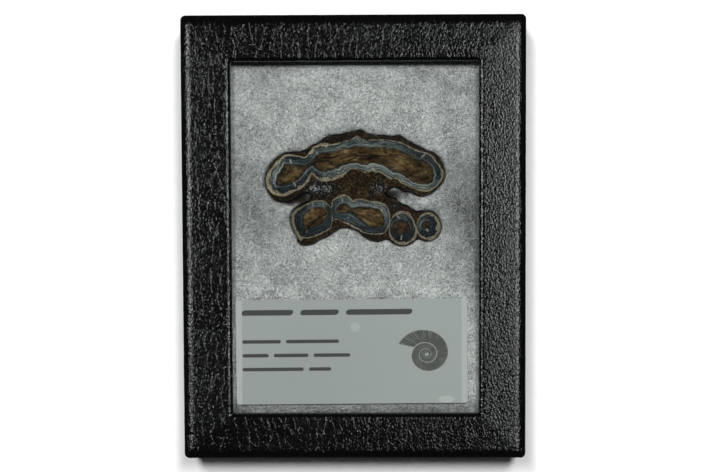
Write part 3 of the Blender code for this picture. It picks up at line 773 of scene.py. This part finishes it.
def wrinkle(grid, outside):
    """Presses soft wrinkles into the rows of the lid's covering that show."""
    tangent_round = np.roll(grid, -1, 1) - np.roll(grid, 1, 1)
    tangent_up = np.gradient(grid, axis=0)
    normal = np.cross(tangent_round, tangent_up)
    normal /= np.linalg.norm(normal, axis=2, keepdims=True)
    for row in range(1, outside):
        for column in range(grid.shape[1]):
            grid[row, column] -= normal[row, column] * wrinkle_depth(grid[row, column])


def build_lid():
    """The leatherette lid: a skirt and rails that rise towards the window, with soft wrinkles."""
    case_size = LID_HIGH - LID_LOW
    side_steps = (int(case_size[0] / LID_PITCH), int(case_size[1] / LID_PITCH))

    def ring(share, z):
        width = case_size[0] + (SEEN_WINDOW[0] - case_size[0]) * share
        length = case_size[1] + (SEEN_WINDOW[1] - case_size[1]) * share
        radius = CASE_CORNER + (WINDOW_CORNER - CASE_CORNER) * share
        plan = rounded_rectangle(width, length, radius, np.array(SEEN_CENTRE) * share, 5, side_steps)
        return np.c_[plan, np.full(len(plan), z)]

    profile, skirt_top = lid_profile(case_size)
    rings = [ring(share, z) for share, z in profile]
    inner_size = case_size - 2 * BOARD
    cavity = rounded_rectangle(inner_size[0], inner_size[1], WINDOW_CORNER, (0, 0), 5, side_steps)
    rings += [np.c_[cavity, np.full(len(cavity), z)] for z in (LID_UNDERSIDE, LID_LOW[2])]
    grid = np.stack(rings)
    for row, (share, z) in enumerate(profile):
        lift = np.clip((z - LID_LOW[2]) / (skirt_top - LID_LOW[2]), 0, 1) * (1 - share) ** 3
        grid[row, :, 0] += SIDE_FLARE * lift * np.clip(grid[row, :, 0] / 30, -1, 1)
    wrinkle(grid, len(profile) - 1)

    rows, count, _ = grid.shape
    index = np.arange(rows * count).reshape(rows, count)
    following = np.roll(index, -1, 1)
    faces = np.stack([index, following, np.roll(following, -1, 0), np.roll(index, -1, 0)], 2).reshape(-1, 4)
    material = leatherette("lid_leatherette", 0.12, 0.18)
    lid = mesh_object("leatherette_lid", grid.reshape(-1, 3), faces, material)
    lid.data.set_sharp_from_angle(angle=math.radians(60))
    return place_piece(lid, "case_lid")


BED_PITCH = 0.4
BED_SWELL = 0.35
BED_SWELL_SIZE = 14.0
BED_LUMP = 0.10
BED_LUMP_SIZE = 2.2
BED_EDGE_DROP = 1.6
BED_EDGE_REACH = 3.5
MOAT_EDGE = 0.05  # the batting starts this far outside the slice
MOAT_WALL = 0.5
HOLLOWS = [  # slow hollows beside the slice: centre, half sizes and depth
    ((27.5, 8.0), (7.5, 13.0), 1.7),
    ((-26.0, 9.5), (6.0, 12.0), 1.25),
    ((-20.0, 2.5), (4.5, 5.5), 0.75),
    ((0.0, -44.0), (90.0, 3.2), 1.6),
    ((0.0, 42.45), (90.0, 0.45), 1.9),
    ((0.0, 41.6), (90.0, 2.6), 0.35),
    ((30.0, -8.0), (2.6, 14.0), 0.9),
    ((-12.8, 9.7), (2.8, 1.3), 2.3),
    ((11.2, 10.4), (4.0, 1.3), 1.9),
    ((-25.0, 37.0), (9.0, 8.0), 0.40),
    ((25.0, 37.0), (9.0, 8.0), 0.40),
    ((-22.0, -8.0), (7.0, 6.0), 0.25),
]
# Painted dark brown shade on the batting, in the nooks of the slice: centre and half sizes
SHADED_NOOKS = [((-13.2, 9.3), (3.0, 1.5)), ((8.6, 10.3), (2.6, 1.0)), ((-15.6, 8.6), (2.0, 1.0))]


def bed_surface(points, outline):
    """Height of the batting's surface, in millimetres."""
    swell = np.array([soft_noise(Vector((x, y, 3.0)) / BED_SWELL_SIZE) for x, y in points])
    lumps = np.array([soft_noise(Vector((x, y, 8.0)) / BED_LUMP_SIZE) for x, y in points])
    edge = np.minimum(BED_HIGH[0] - abs(points[:, 0]), BED_HIGH[1] - abs(points[:, 1]))
    away, _ = signed_distance(points, outline)
    away = -away
    height = DISPLAY_LEVEL - 0.12 - BED_SWELL * swell - BED_LUMP * lumps
    height -= BED_EDGE_DROP * np.exp(-edge / BED_EDGE_REACH)
    height -= 0.8 * np.exp(-np.maximum(away, 0) / 1.2)
    for centre, half, depth in HOLLOWS:
        height -= depth * mound(points, centre, half)
    offset = points - np.array(CARD_CENTRE)
    beyond = np.maximum(abs(offset[:, 0]) - CARD_SIZE[0] / 2, abs(offset[:, 1]) - CARD_SIZE[1] / 2)
    seat = CARD_LOW[2] - 0.25
    height = np.minimum(height, seat + np.clip(beyond / 2.5, 0, 1) * (DISPLAY_LEVEL - seat))
    wall = np.clip((away - MOAT_EDGE) / MOAT_WALL, 0, 1)
    floor = SLICE_LOW[2] - 0.3
    return np.where(wall < 1, floor + (height - floor) * (1 - (1 - wall) ** 3), height)


def painted_light_share(height):
    """Share of painted light: 1 where the batting lies on the glass, 0 deep in the pad, where painted shade
    darkens it.
    """
    return np.clip(1.12 - (DISPLAY_LEVEL - height) / 1.9, 0, 1)


def nook_shade(points):
    """How much painted shade darkens the batting in the slice's nooks, from 0 to 1."""
    shares = [mound(points, centre, half) for centre, half in SHADED_NOOKS]
    return np.clip(1.25 * np.max(shares, 0), 0, 1)


def build_bed(outline):
    """The batting's body: a soft slab with a pocket for the slice."""
    size = BED_HIGH - BED_LOW
    columns, rows = int(size[0] / BED_PITCH), int(size[1] / BED_PITCH)
    xs = np.linspace(BED_LOW[0], BED_HIGH[0], columns + 1)
    ys = np.linspace(BED_LOW[1], BED_HIGH[1], rows + 1)
    plan = np.stack(np.meshgrid(xs, ys), 2).reshape(-1, 2)
    height = bed_surface(plan, outline)
    bm = bmesh.new()
    verts = [bm.verts.new((x * MM, y * MM, z * MM)) for (x, y), z in zip(plan, height)]
    stride = columns + 1
    for row in range(rows):
        for column in range(columns):
            a = row * stride + column
            bm.faces.new((verts[a], verts[a + 1], verts[a + stride + 1], verts[a + stride]))
    sheet = bmesh.ops.extrude_face_region(bm, geom=list(bm.faces))
    base = [v for v in sheet["geom"] if isinstance(v, bmesh.types.BMVert)]
    for vert in base:
        vert.co.z = BED_LOW[2] * MM
    flat = [f for f in bm.faces if all(v.co.z == base[0].co.z for v in f.verts)]
    bmesh.ops.dissolve_faces(bm, faces=flat, use_verts=False)
    bmesh.ops.recalc_face_normals(bm, faces=bm.faces)
    bed = from_bmesh("batting_pad", bm, batting_base())
    mesh = bed.data
    mesh.shade_smooth()
    mesh.set_sharp_from_angle(angle=math.radians(70))
    # painted shade that deepens with the batting's depth below the glass
    write_attribute(bed, "painted_light", [painted_light_share(v.co.z / MM) for v in mesh.vertices])
    # painted shade in the slice's nooks
    write_attribute(bed, "nook_shade", nook_shade(np.array([v.co.xy for v in mesh.vertices]) / MM))
    place_piece(bed, "fibre_bed")
    return xs, ys, height.reshape(rows + 1, columns + 1)


FIBRES_A_PIECE = 9500
FIBRE_POINTS = 10
FIBRE_STEP = 0.28
FIBRE_CURL = 0.30  # how much a whole fibre turns at each step
FIBRE_WOBBLE = 0.28  # how much each step turns by itself
FIBRE_WIDTHS = (0.04, 0.10)
FIBRE_TILT = 0.5
FIBRE_TOP = DISPLAY_LEVEL + 0.2
UNDER_WINDOW = 2.5  # fibres start up to this far past the window's edge


def fibre_paths(rng):
    """Curly paths in the plan, and the direction at each of their points."""
    reach = np.array(WINDOW_SIZE) / 2 + UNDER_WINDOW
    start = rng.uniform(-1, 1, (FIBRES_A_PIECE, 2)) * reach + WINDOW_CENTRE
    heading = rng.uniform(0, 2 * np.pi, FIBRES_A_PIECE)
    curl = rng.normal(0, FIBRE_CURL, FIBRES_A_PIECE)
    turn = curl[:, None] + rng.normal(0, FIBRE_WOBBLE, (FIBRES_A_PIECE, FIBRE_POINTS))
    angle = heading[:, None] + np.cumsum(turn, 1)
    pace = FIBRE_STEP * rng.uniform(0.6, 1.35, FIBRES_A_PIECE)
    stride = np.stack([np.cos(angle), np.sin(angle)], 2) * pace[:, None, None]
    return start[:, None] + np.cumsum(stride, 1), angle


def free_fibres(path, rng, outline):
    """Which paths stay off the slice, the card and the nooks with painted shade."""
    flat = path.reshape(-1, 2)
    away, _ = signed_distance(flat, outline)
    across, up = (flat - np.array(CARD_CENTRE)).T
    on_card = (abs(across) < CARD_SIZE[0] / 2 + 0.1) & (up < CARD_SIZE[1] / 2 + 0.1)
    on_card &= up > -CARD_SIZE[1] / 2 + 0.9 * rng.uniform(0, 1, len(flat)) ** 2
    blocked = (-away < 0.05) | on_card | (nook_shade(flat) > 0.45)
    return ~blocked.reshape(FIBRES_A_PIECE, FIBRE_POINTS).any(1)


def ground_height(flat, terrain):
    """Height of the pad under each place, between the points of its grid."""
    xs, ys, heights = terrain
    u = np.clip((flat[:, 0] - xs[0]) / (xs[1] - xs[0]), 0, len(xs) - 1.001)
    v = np.clip((flat[:, 1] - ys[0]) / (ys[1] - ys[0]), 0, len(ys) - 1.001)
    i, j = u.astype(int), v.astype(int)
    fu, fv = u - i, v - j
    return (heights[j, i] * (1 - fu) * (1 - fv) + heights[j, i + 1] * fu * (1 - fv)
            + heights[j + 1, i] * (1 - fu) * fv + heights[j + 1, i + 1] * fu * fv)


def build_fibres(name, seed, terrain, outline, lift, material):
    """A layer of curly fibres that follows the pad's surface and stays off the slice and card."""
    rng = np.random.default_rng(seed)
    path, angle = fibre_paths(rng)
    free = free_fibres(path, rng, outline)
    path, angle = path[free], angle[free]
    count = len(path)
    ground = ground_height(path.reshape(-1, 2), terrain).reshape(count, FIBRE_POINTS)
    level = ground.mean(1, keepdims=True) * 0.65 + ground * 0.35
    wave = np.sin(np.linspace(0, np.pi, FIBRE_POINTS)) * rng.uniform(0.0, lift, count)[:, None]
    phase = rng.uniform(0, 6.28, count)[:, None]
    ripple = 0.05 * np.sin(phase + np.arange(FIBRE_POINTS) * rng.uniform(0.5, 1.3, count)[:, None])
    z = np.minimum(np.maximum(level, ground - 0.05) + wave + ripple + 0.03, FIBRE_TOP)

    taper = np.sin(np.linspace(0.25, np.pi - 0.25, FIBRE_POINTS))
    width = rng.uniform(*FIBRE_WIDTHS, count)[:, None] * taper
    tilt = rng.normal(0, FIBRE_TILT, count)[:, None]
    side = np.stack([-np.sin(angle) * np.cos(tilt), np.cos(angle) * np.cos(tilt),
                     np.broadcast_to(np.sin(tilt), angle.shape)], 2) * width[:, :, None] / 2
    middle = np.concatenate([path, z[:, :, None]], 2)
    points = np.stack([middle - side, middle + side], 2).reshape(-1, 3)
    points[:, 2] = np.minimum(points[:, 2], FIBRE_TOP)
    first = np.arange(count)[:, None] * FIBRE_POINTS * 2 + np.arange(FIBRE_POINTS - 1) * 2
    faces = np.stack([first, first + 1, first + 3, first + 2], 2).reshape(-1, 4)
    fibres = mesh_object(name, points, faces, material)
    # painted shade for fibres that lie deep in the pad
    write_attribute(fibres, "painted_light", painted_light_share(points[:, 2]))
    tone = rng.uniform(0, 1, count) ** 2.2
    write_attribute(fibres, "tone", np.repeat(tone, FIBRE_POINTS * 2))
    return place_piece(fibres)


SLICE_PITCH = 0.22
SIDE_ROWS = 7
SIDE_WEAR = 0.32
# Blackest cement, and the crystals round the pits: centre, half sizes and strength
SOOT = [
    ((-16.0, 9.6), (4.5, 1.6), 1.0),
    ((-8.2, 11.7), (4.2, 1.7), 0.9),
    ((3.5, 0.2), (4.5, 1.6), 0.8),
    ((9.2, 7.2), (3.2, 1.9), 0.7),
]
DRUSE = [((-7.9, 12.1), (3.6, 1.7), 1.0), ((6.2, 12.2), (1.9, 1.6), 0.5)]


def near_stations(points):
    """The enamel's look at each point, blended from the stations around it."""
    stations = np.array(ENAMEL_STATIONS)
    total = np.zeros((len(points), stations.shape[1] - 2))
    weights = np.zeros(len(points))
    for place, look in zip(stations[:, :2], stations[:, 2:]):
        weight = 1 / (((points - place) ** 2).sum(1) + 0.15) ** 2
        total += weight[:, None] * look
        weights += weight
    return total / weights[:, None]


def plate_fields(points):
    """How far each point lies across its plate's enamel, and along it, and which dentine is ruddy."""
    band = np.full(len(points), -np.inf)
    arc = np.zeros(len(points))
    ruddy = np.zeros(len(points))
    for number, (outer, inner) in enumerate(PLATES):
        out, where = signed_distance(points, closed_curve(outer))
        into, _ = signed_distance(points, closed_curve(inner))
        share = np.clip(out / np.maximum(out - np.minimum(into, 0), 1e-6), 0, 1)
        value = np.where(out < 0, out, np.where(into > 0, 1 + into, share))
        better = value > band
        band[better] = value[better]
        arc[better] = where[better] + 40 * number
        ruddy[better] = 1.0 if number >= 3 else 0.0
    return {"band": band, "arc": arc, "ruddy": ruddy}


def slice_fields(points):
    """What the slice's material needs at each point, from the plates, seams, cracks and pits."""
    fields = plate_fields(points)
    fields["cream"], fields["bright"], fields["line"], fields["pale"] = near_stations(points).T
    fields["seam"] = np.min([path_distance(points, np.array(p), closed=False)[0] for p in SEAMS], 0)
    marks = np.zeros(len(points))
    for *ends, strength in CRACKS:
        gap, _ = path_distance(points, np.array(ends), closed=False)
        marks = np.maximum(marks, 0.8 * strength * np.clip(1.1 - gap / 0.15, 0, 1))
    fields["crack"] = marks
    x, y = points.T
    top_rim = np.clip((y - 21.0) / 2.0, 0, 1) * np.clip(4.0 - abs(x - 1.0) / 3.2, 0, 1)
    soot = 0.45 * top_rim
    for centre, half, strength in SOOT:
        soot += strength * mound(points, centre, half)
    druse = sum(strength * mound(points, centre, half, 2) for centre, half, strength in DRUSE)
    fields["druse"] = np.clip(druse, 0, 1)
    fields["soot"] = np.clip(soot, 0, 0.95)
    return fields


def pit_depth(points):
    """Depth of the open pits under the polished face."""
    depth = np.zeros(len(points))
    for number, (centre, half, deep, turn, _) in enumerate(PITS):
        x, y = turned(*(points - centre).T, -math.radians(turn))
        radius = np.hypot(x / half[0], y / half[1])
        for i in np.flatnonzero(radius < 1.6):
            spot = Vector((points[i, 0], points[i, 1], number)) / 0.55
            radius[i] *= 1 + 0.28 * noise.noise(spot)
            bowl = 1 - min(radius[i], 1.0) ** 2
            depth[i] = max(depth[i], deep * bowl**0.6 * (1 + 0.2 * noise.noise(spot * 2.1)))
    return depth


def face_points(outline):
    """Points over the polished face, with the seams and cracks as edges, and its triangles."""
    low, high = outline.min(0), outline.max(0)
    xs = np.arange(low[0], high[0], SLICE_PITCH)
    ys = np.arange(low[1], high[1], SLICE_PITCH)
    lattice = np.stack(np.meshgrid(xs, ys), 2)
    lattice[1::2, :, 0] += SLICE_PITCH / 2
    lattice = lattice.reshape(-1, 2)
    away, _ = signed_distance(lattice, outline)
    lattice = lattice[away > SLICE_PITCH * 0.5]
    lines = [np.array(p) for p in SEAMS + [crack[:2] for crack in CRACKS]]
    start = len(outline)
    edges = [(i, (i + 1) % start) for i in range(start)]
    border = list(range(start))
    for path in lines:
        edges += [(start + i, start + i + 1) for i in range(len(path) - 1)]
        start += len(path)
    spots = [Vector(p) for p in np.concatenate([outline, *lines, lattice])]
    flat, _, faces, *_ = geometry.delaunay_2d_cdt(spots, edges, [border], 1, 1e-5)
    return np.array(flat), faces


def side_rings(outline):
    """Rings of the rough side, from just under the polished face down to the base."""
    outward = np.roll(outline, -1, 0) - np.roll(outline, 1, 0)
    outward = np.stack([-outward[:, 1], outward[:, 0]], 1)
    outward /= np.hypot(*outward.T)[:, None]
    if not inside(outline[:1] - outward[:1] * 0.05, outline)[0]:
        outward = -outward
    drops = [0.06, 0.2, *np.linspace(0.7, SLICE_HIGH[2] - SLICE_LOW[2], SIDE_ROWS - 2)]
    rings = []
    for drop, bulge in zip(drops, [0.05] + [0.07] * (SIDE_ROWS - 1)):
        z = DISPLAY_LEVEL - drop
        ring = []
        for (x, y), (ox, oy) in zip(outline, outward):
            wear = 0.0
            if drop > 0.3:
                wear = SIDE_WEAR * soft_noise(Vector((x, y, z)) / 0.9)
            ring.append((x + ox * (bulge - wear), y + oy * (bulge - wear), z))
        rings.append(np.array(ring))
    return rings


def build_slice(outline):
    """The slice: a flat polished face with fields for its material, and rough lumpy sides."""
    flat, face_corners = face_points(outline)
    rim, _ = path_distance(flat, outline)
    depth = pit_depth(flat)
    depth[rim < 0.01] = 0
    rings = side_rings(outline)
    points = np.concatenate([np.c_[flat, DISPLAY_LEVEL - depth], *rings])
    count = len(outline)
    indices = [[int(np.argmin(((flat - p) ** 2).sum(1))) for p in outline]]
    indices += [range(start, start + count) for start in range(len(flat), len(points), count)]
    faces = list(face_corners)
    for upper, lower in zip(indices, indices[1:]):
        for i in range(count):
            j = (i + 1) % count
            faces.append((upper[i], lower[i], lower[j], upper[j]))
    faces.append(indices[-1])
    molar = mesh_object("molar_slab", points, faces, polished_molar())
    mesh = molar.data
    mesh.materials.append(sawn_side())
    for polygon in mesh.polygons[len(face_corners) + count:]:
        polygon.material_index = 1
    bm = bmesh.new()
    bm.from_mesh(mesh)
    bmesh.ops.recalc_face_normals(bm, faces=bm.faces)
    bm.to_mesh(mesh)
    bm.free()
    mesh.set_sharp_from_angle(angle=math.radians(50))
    fields = slice_fields(points[:, :2])
    fields["depth"] = np.concatenate([depth, np.zeros(len(points) - len(depth))])
    for name, values in fields.items():
        write_attribute(molar, name, values)
    return place_piece(molar, "molar_slice")


CRYSTALS_A_PIT = 620  # in a pit full of them whose half sizes multiply to 1.4
CRYSTAL_SIZES = (0.03, 0.085)


def build_crystals():
    """Small faceted crystals that line the pits."""
    rng = np.random.default_rng(21)
    bm = bmesh.new()
    for centre, half, deep, turn, share in PITS:
        count = int(CRYSTALS_A_PIT * share * half[0] * half[1] / 1.4)
        angle = math.radians(turn)
        for _ in range(count):
            radius, around = rng.uniform(0, 1) ** 0.5 * 0.92, rng.uniform(0, 2 * math.pi)
            x, y = radius * math.cos(around) * half[0], radius * math.sin(around) * half[1]
            z = DISPLAY_LEVEL - deep * (1 - radius**2) ** 0.6 * 0.9 - 0.05
            spot = Vector((*turned(x, y, angle, centre), z))
            size = rng.uniform(*CRYSTAL_SIZES)
            sides = int(rng.integers(4, 7))
            made = bmesh.ops.create_cone(bm, segments=sides, radius1=size, radius2=size * 0.35,
                                         depth=size * 2.2, cap_ends=True)["verts"]
            tilt = Vector((rng.normal(0, 0.6), rng.normal(0, 0.6), 1)).to_track_quat("Z", "Y")
            for vert in made:
                vert.co = tilt @ vert.co + spot
                vert.co.z = min(vert.co.z, DISPLAY_LEVEL - 0.01)
    for vert in bm.verts:
        vert.co *= MM
    return place_piece(from_bmesh("pit_crystals", bm, crystal()))


def print_shapes(name, outlines, low, high, material):
    """Flat printed shapes on the card, in the card's own plan, with a small thickness."""
    bm = bmesh.new()
    for outline in outlines:
        spots = [turned(x, y, CARD_TURN, CARD_CENTRE) for x, y in outline]
        face = bm.faces.new([bm.verts.new((x * MM, y * MM, low * MM)) for x, y in spots])
        for part in bmesh.ops.extrude_face_region(bm, geom=[face])["geom"]:
            if isinstance(part, bmesh.types.BMVert):
                part.co.z = high * MM
    bmesh.ops.recalc_face_normals(bm, faces=bm.faces)
    place_piece(from_bmesh(name, bm, material))


PRINT_THICKNESS = 0.012
# Rows of bars: their place up the card, their lengths, height and slant, and the gap between them
BAR_ROWS = [
    (9.7, (12.6, 9.4, 16.2), 1.35, 0.28, 1.7),
    (2.6, (9.5, 13.0), 0.85, 0.0, 1.2),
    (-0.8, (6.5, 8.5, 9.0), 0.85, 0.0, 1.2),
    (-4.2, (15.0, 5.5), 0.85, 0.0, 1.2),
]


def word_bar(x, y, length, height, slant):
    """A plain bar with soft ends, standing for a word."""
    r = height / 2
    points = []
    for centre, start in (((x + length - r, y), -90), ((x + r, y), 90)):
        for step in range(5):
            angle = math.radians(start + 45 * step)
            points.append((centre[0] + r * math.cos(angle), centre[1] + r * math.sin(angle)))
    return [(px + (py - y) * slant, py) for px, py in points]


SHELL_CENTRE = (18.2, -0.8)
SHELL_RADIUS = 7.3
SHELL_TURNS = 3.3
SHELL_GROWTH = math.log(2.15) / (2 * math.pi)


def shell_radius(angle):
    """Outer radius of the shell's coil; the angle runs from 0 at its heart to its mouth."""
    return SHELL_RADIUS * math.exp(SHELL_GROWTH * (angle - 2 * math.pi * SHELL_TURNS))


def shell_spot(angle, radius):
    """A place on the shell, which is drawn a little flattened."""
    x, y = SHELL_CENTRE
    return (x + radius * math.cos(angle + 0.7), y + 0.94 * radius * math.sin(angle + 0.7))


def shell_band(start, end, inner, outer):
    """A four-cornered piece of the coil between two angles and two shares of the whorl's width."""
    points = []
    for angle, share in ((start, inner), (start, outer), (end, outer), (end, inner)):
        low = shell_radius(angle - 2 * math.pi)
        bend = 0.16 * share**2
        points.append(shell_spot(angle + bend, low + (shell_radius(angle) - low) * share))
    return points


def build_print():
    """Neutral printed matter: bars in place of words, and a ribbed spiral shell."""
    low, high = CARD_HIGH[2] + 0.002, CARD_HIGH[2] + PRINT_THICKNESS
    bars = []
    for y, lengths, height, slant, gap in BAR_ROWS:
        x = -CARD_SIZE[0] / 2 + 1.5
        for length in lengths:
            bars.append(word_bar(x, y, length, height, slant))
            x += length + gap
    print_shapes("printed_bars", bars, low, high, printed_ink())

    end = 2 * math.pi * SHELL_TURNS
    step = math.radians(7)
    whorls, ribs = [], []
    for i in range(int(end / step)):
        angle = end - (i + 1) * step
        whorls.append(shell_band(angle, angle + step * 1.02, 0.04, 1.0))
        rib_share = 0.42 + 0.16 * math.sin(i * 2.3)
        ribs.append(shell_band(angle, angle + step * rib_share, 0.10, 0.93))
    print_shapes("printed_shell", whorls, low, high - 0.005, printed_tint())
    print_shapes("printed_ribs", ribs, low, high, printed_ink())


def build_camera():
    """The camera that sees the part as the photo does."""
    camera = bpy.data.objects.new("camera", bpy.data.cameras.new("camera"))
    camera.data.lens = CAMERA_LENS
    camera.data.sensor_width = SENSOR_WIDTH
    camera.location = Vector(CAMERA_POSITION) * MM
    camera.rotation_euler = [math.radians(a) for a in CAMERA_TURN]
    camera.data.clip_start = 0.01
    camera.data.clip_end = 20.0
    bpy.context.scene.collection.objects.link(camera)
    bpy.context.scene.camera = camera


# Name, position and size in metres, watts, and whether the lamp lights matt and glossy surfaces
LAMPS = [
    ("overhead_left", (-0.25, 0.50, 1.50), (0.20, 0.42), 16.8, True, False),
    ("overhead_right", (0.25, 0.50, 1.50), (0.20, 0.42), 16.8, True, False),
    ("softbox_left", (-0.98, 0.0, 1.36), (0.42, 0.56), 8.2, False, True),
    ("softbox_right", (0.66, 0.0, 1.46), (0.70, 0.54), 9.0, False, True),
]


MATT_LIGHT = (1.0, 1.0, 1.0)
GLOSSY_LIGHT = (0.965, 1.0, 0.985)
WORLD_COLOUR = (0.97, 0.99, 1.0, 1.0)
WORLD_STRENGTH = 0.03
FLOOR_HALF = 3000.0


def build_lamp(name, position, size, power, on_matt, on_glossy):
    """An oblong lamp that faces the middle of the part."""
    light = bpy.data.lights.new(name, "AREA")
    light.shape = "RECTANGLE"
    light.size, light.size_y = size
    light.energy = power
    light.color = GLOSSY_LIGHT if on_glossy else MATT_LIGHT
    lamp = bpy.data.objects.new(name, light)
    lamp.location = position
    lamp.rotation_euler = (-Vector(position)).to_track_quat("-Z", "Y").to_euler()
    lamp.visible_diffuse = on_matt
    lamp.visible_glossy = on_glossy
    bpy.context.scene.collection.objects.link(lamp)


def build_studio():
    """Lamps, a dim world and a white floor."""
    for lamp in LAMPS:
        build_lamp(*lamp)
    world = bpy.data.worlds.new("studio_world")
    world.use_nodes = True
    background = world.node_tree.nodes["Background"]
    background.inputs["Color"].default_value = WORLD_COLOUR
    background.inputs["Strength"].default_value = WORLD_STRENGTH
    bpy.context.scene.world = world
    corners = [(FLOOR_HALF * x, FLOOR_HALF * y, 0) for x, y in ((-1, -1), (1, -1), (1, 1), (-1, 1))]
    floor = mesh_object("studio_floor", corners, [(0, 1, 2, 3)], floor_paper())
    floor.visible_glossy = False
    bpy.context.scene.view_settings.view_transform = "Standard"


def dress_carried_nodes():
    """Procedural finishes for the CAD nodes that are shown as they are."""
    finishes = {
        "window_glass": glass(),
        "case_tray": leatherette("tray_board", 0.4, 0.55),
        "label_card": card_paper(),
    }
    for name, material in finishes.items():
        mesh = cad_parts[name].data
        mesh.materials.clear()
        mesh.materials.append(material)


build_camera()
build_studio()
dress_carried_nodes()
slice_rim = slice_outline()
build_lid()
pad = build_bed(slice_rim)
fibre_material = batting_fibre()
for layer, (seed, lift) in enumerate(((3, 0.12), (4, 0.2), (5, 0.3))):
    build_fibres(f"batting_fibres_{layer + 1}", seed, pad, slice_rim, lift, fibre_material)
build_slice(slice_rim)
build_crystals()
build_print()
